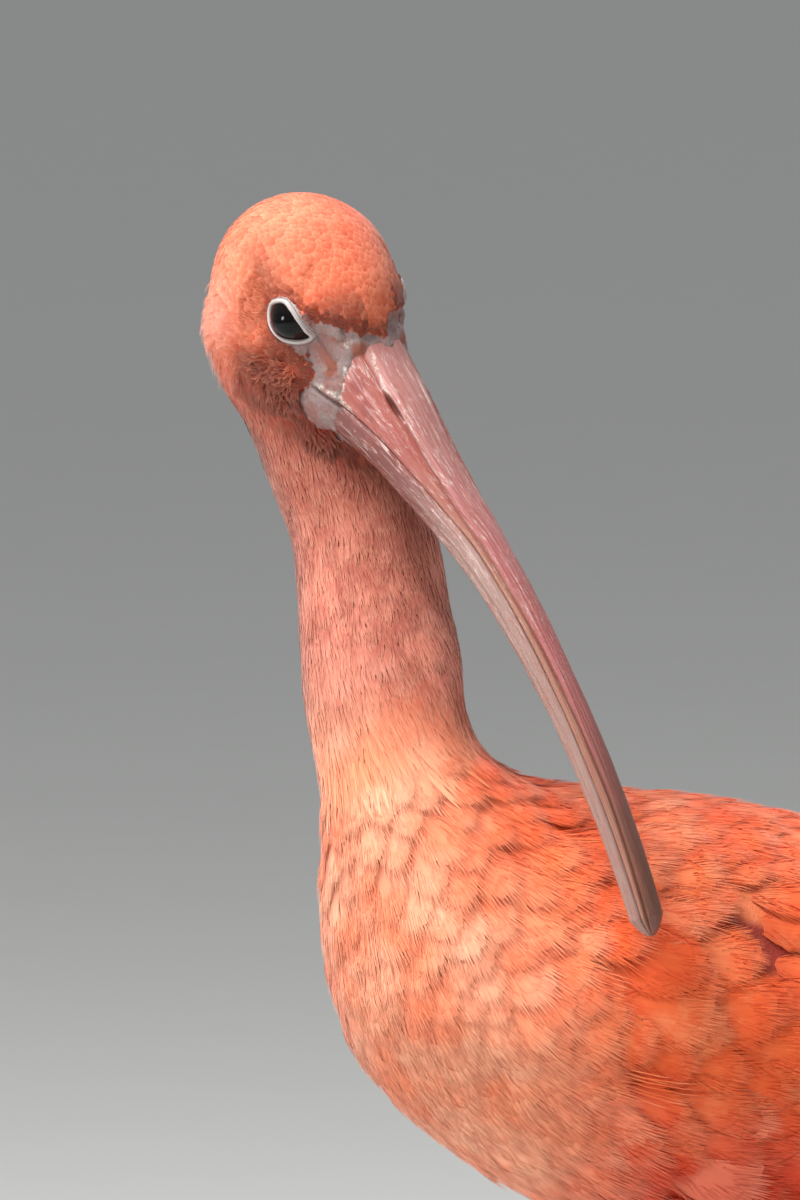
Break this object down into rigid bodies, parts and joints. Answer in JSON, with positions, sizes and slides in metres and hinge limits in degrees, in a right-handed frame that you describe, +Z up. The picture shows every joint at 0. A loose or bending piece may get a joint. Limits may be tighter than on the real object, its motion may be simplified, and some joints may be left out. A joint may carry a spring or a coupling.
{
  "type": "scarlet ibis",
  "caption": "Life-size standing wading bird with a long down-curved bill, head turned back over its left shoulder, wings folded.",
  "frame": {"origin": "on the floor, under the middle of the whole bird's bounding box", "axes": "+X to the bird's left, +Y to its tail, +Z up from the floor"},
  "size_m": [0.1326, 0.315, 0.4221],
  "materials": {
    "plumage": "soft contour feathers, matte",
    "neck_plumage": "short soft feathers, matte",
    "flight_feathers": "stiff vanes with a slight sheen",
    "bill_horn": "satin horn with fine cracks",
    "mandible_horn": "satin horn with fine cracks",
    "eye": "wet and glossy",
    "leg_skin": "scaled skin, satin",
    "claw": "dark horn, satin"
  },
  "bodies": {
    "root": {"torso": "plumage", "neck_lower": "neck_plumage", "neck_upper": "neck_plumage", "tail": "flight_feathers", "head": "neck_plumage", "bill_upper": "bill_horn", "bill_lower": "mandible_horn", "eye_left": "eye", "wing_left": "plumage", "thigh_left": "plumage", "shank_left": "leg_skin", "tarsus_left": "leg_skin", "foot_left": "leg_skin", "toe_inner_left": "leg_skin", "claw_inner_left": "claw", "toe_middle_left": "leg_skin", "claw_middle_left": "claw", "toe_outer_left": "leg_skin", "claw_outer_left": "claw", "toe_hind_left": "leg_skin", "claw_hind_left": "claw", "eye_right": "eye", "wing_right": "plumage", "thigh_right": "plumage", "shank_right": "leg_skin", "tarsus_right": "leg_skin", "foot_right": "leg_skin", "toe_inner_right": "leg_skin", "claw_inner_right": "claw", "toe_middle_right": "leg_skin", "claw_middle_right": "claw", "toe_outer_right": "leg_skin", "claw_outer_right": "claw", "toe_hind_right": "leg_skin", "claw_hind_right": "claw"}
  },
  "joints": []
}
